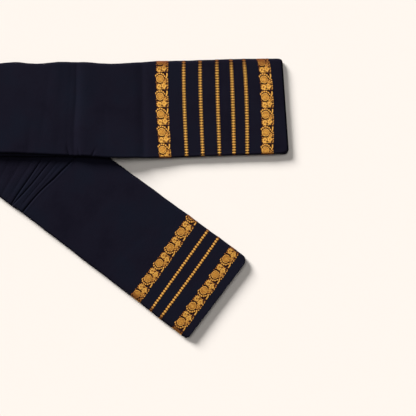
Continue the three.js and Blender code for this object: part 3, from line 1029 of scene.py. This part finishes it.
# The bands as the layers inside show them, by the grain of their threads
FLAT_GOLD = [(0.38, (0.04, 0.014, 0.01)), (0.47, (0.25, 0.1, 0.024)), (0.62, (0.55, 0.27, 0.065))]
SLUB = {"scale": (0.9, 0.035), "noise": 1.6}  # thick threads, drawn out across the cloth
PATCHES_PER_M = 14.0  # slow changes of the dye
DENTS_PER_M = 60.0
DENT_DEPTH, WEAVE_DEPTH, SLUB_DEPTH = 0.0006, 0.00005, 0.00006  # metres
BAND_BLUR = 0.25  # at the sides of a hidden band


def cloth_material(name):
    """Plain-woven silk and cotton, with slubs; brown under the relief and flat gold on hidden bands."""
    n = Nodes(name)
    along, across, thread = n.attribute("along"), n.attribute("across"), n.attribute("thread")
    weave = n.times(n.ripple(thread, THREADS_PER_MM), n.ripple(across, THREADS_PER_MM))
    slub = n.noise(n.plane(thread, across, *SLUB["scale"]), SLUB["noise"], 2.0)
    dye = n.plus(n.times(n.noise(n.position(), PATCHES_PER_M), 0.75), n.times(slub, 0.35))
    base = n.ramp(dye, [(0.3, NAVY_DARK), (0.52, NAVY), (0.68, NAVY_BLUER)])
    zone = 0.0
    for stretch in (UPPER, LOWER):
        for line in stretch.lines:
            low, high = sorted(stretch.sign * (line.middle + end * line.width / 2) for end in (-1, 1))
            zone = n.math("MAXIMUM", zone, n.between(along, low, high, BAND_BLUR))
    grain = n.noise(n.plane(along, across, 0.5, 0.5), 1.0, 4.0, 0.7)
    under_relief = n.math("GREATER_THAN", n.attribute("relief_zone"), 0.5)
    in_band = n.mix(under_relief, n.ramp(grain, FLAT_GOLD), GROUND)
    dents = n.bump(n.noise(n.position(), DENTS_PER_M, 4.0), DENT_DEPTH, 0.5)
    threads = n.bump(weave, WEAVE_DEPTH, 0.6, dents)
    n.surface({
        "Base Color": n.mix(zone, base, in_band),
        "Roughness": n.plus(n.times(slub, 0.08), 0.88),
        "Specular IOR Level": 0.04,
        "Sheen Weight": 0.02,
        "Sheen Roughness": 0.4,
        "Sheen Tint": (0.5, 0.55, 0.9),
        "Normal": n.bump(slub, SLUB_DEPTH, 0.8, threads),
    })
    return n.material


# Gold thread by its tone, which holds the relief's painted shade, from the brown ground to the brightest
# bead
ZARI_STOPS = [
    (0.0, (0.012, 0.004, 0.004)),
    (0.14, (0.048, 0.011, 0.0065)),
    (0.35, (0.26, 0.078, 0.011)),
    (0.6, (0.53, 0.238, 0.036)),
    (0.82, (0.68, 0.358, 0.062)),
    (1.0, (0.86, 0.48, 0.1)),
]
# Painted shade on the pack's rounded sides mixes the gold towards this colour; on the lower stretch it is
# also a real coppery tint.
SHADE_AND_COPPER_COLOUR = (0.15, 0.036, 0.008)
SHADE_AND_COPPER_SHARE = 0.95
GOLD_FROM_TONE = 0.2  # duller threads are ground and stay brown
TARNISH, SPECKS = 0.75, 0.55  # how far slow patches and single threads change the tone
ZARI_DEPTH = 0.00006  # metres


def zari_material():
    """Gold thread, brown where the ground shows between the motifs; painted shade makes it coppery on the
    pack's edges, over a real coppery tint on the lower stretch.
    """
    n = Nodes("zari_weave")
    along, across = n.attribute("along"), n.attribute("across")
    tone, edge = n.attribute("tone"), n.attribute("edge")
    patch = n.noise(n.plane(along, across, 0.05, 0.05), 5.0, 3.0)
    speck = n.noise(n.plane(along, across, 0.55, 0.75), 1.0, 2.0)
    varied = n.plus(tone, n.times(n.math("SUBTRACT", patch, 0.5), TARNISH))
    varied = n.plus(varied, n.times(n.math("SUBTRACT", speck, 0.5), SPECKS))
    colour = n.ramp(varied, ZARI_STOPS)
    # Painted shade on the pack's rounded sides, over the real coppery tint, by the edge attribute
    gold_shade_and_copper = n.mix(n.times(edge, SHADE_AND_COPPER_SHARE), colour, SHADE_AND_COPPER_COLOUR)
    threads = n.times(n.ripple(across, THREADS_PER_MM), n.ripple(along, THREADS_PER_MM * 0.7))
    n.surface({
        "Base Color": n.mix(n.math("GREATER_THAN", tone, GOLD_FROM_TONE), colour, gold_shade_and_copper),
        "Metallic": n.times(n.math("MINIMUM", n.times(tone, 1.4), 1.0), 0.30),
        "Roughness": n.plus(n.times(speck, 0.16), 0.56),
        "Specular IOR Level": 0.12,
        "Normal": n.bump(threads, ZARI_DEPTH, 0.7),
    })
    return n.material


def floor_material():
    n = Nodes("floor_cream")
    n.surface({"Base Color": (0.90, 0.838, 0.777), "Roughness": 0.95, "Specular IOR Level": 0.0})
    return n.material


# ---- Build ----
navy = cloth_material("saree_navy")
navy_inside = cloth_material("saree_navy_inside")
zari = zari_material()

cloth = build_cloth(navy)
layers = build_layers(navy_inside)
upper_leaves = build_leaves("upper_end_layers", UPPER, navy_inside)
lower_leaves = build_leaves("lower_end_layers", LOWER, navy_inside)
reliefs = [build_relief(stretch, line, zari) for stretch in (UPPER, LOWER) for line in stretch.lines]

pieces = [cloth, layers, upper_leaves, lower_leaves, *reliefs]
for piece in pieces:
    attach(piece, "root")

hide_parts("upper_stretch_cloth", "turn_cloth", "lower_stretch_cloth")
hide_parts("upper_stretch_layers", "turn_layers", "lower_stretch_layers")

# ---- Floor, light and camera ----
LOOK_AT = Vector((161.88, -22.91, 0.0)) * MM
CAMERA_DISTANCE = 1.5  # metres
CAMERA_TILT = 7.0
PHOTO_SIDE = 416
FOCAL_PIXELS = 819.67
SENSOR = 36.0
FLOOR_REACH = 40.0  # metres each way
FLOOR_DROP = 0.0002  # so that no two faces share a place

corners = [(x * FLOOR_REACH, y * FLOOR_REACH, 0) for x, y in ((-1, -1), (1, -1), (1, 1), (-1, 1))]
floor_mesh = bpy.data.meshes.new("floor")
floor_mesh.from_pydata(corners, [], [(0, 1, 2, 3)])
floor_mesh.materials.append(floor_material())
floor = new_object("floor", floor_mesh)
floor.location.z = -FLOOR_DROP

# Azimuth and elevation that each light comes from, its softness in degrees, and its share of the
# light that reaches the floor. The rest comes from all round.
FLOOR_LIGHT = 1.117
LIGHTS = [
    ("key", 133.0, 26.0, 22.0, 0.73),
    ("top", 135.0, 80.0, 36.0, 0.21),
]


def toward(azimuth, elevation):
    up, turned = math.radians(elevation), math.radians(azimuth)
    return Vector((math.cos(up) * math.cos(turned), math.cos(up) * math.sin(turned), math.sin(up)))


def soft_light(name, azimuth, elevation, soft_angle, share):
    light = bpy.data.lights.new(name, "SUN")
    light.energy = math.pi * FLOOR_LIGHT * share / math.sin(math.radians(elevation))
    light.angle = math.radians(soft_angle)
    lamp = new_object(name, light)
    lamp.location = LOOK_AT + toward(azimuth, elevation)
    lamp.rotation_euler = toward(azimuth, elevation).to_track_quat("Z", "Y").to_euler()


for row in LIGHTS:
    soft_light(*row)
SKY = FLOOR_LIGHT * (1 - sum(row[-1] for row in LIGHTS))

world = bpy.data.worlds.new("studio")
world.use_nodes = True
background = world.node_tree.nodes["Background"].inputs
background["Color"].default_value = (1.0, 1.0, 1.0, 1.0)
background["Strength"].default_value = SKY
bpy.context.scene.world = world
bpy.context.scene.view_settings.view_transform = "Standard"

camera_data = bpy.data.cameras.new("camera")
camera_data.sensor_width = SENSOR
camera_data.lens = FOCAL_PIXELS * SENSOR / PHOTO_SIDE
camera = new_object("camera", camera_data)
tilt = math.radians(CAMERA_TILT)
camera.location = LOOK_AT + Vector((0, -math.sin(tilt), math.cos(tilt))) * CAMERA_DISTANCE
camera.rotation_euler = (tilt, 0, 0)
bpy.context.scene.camera = camera
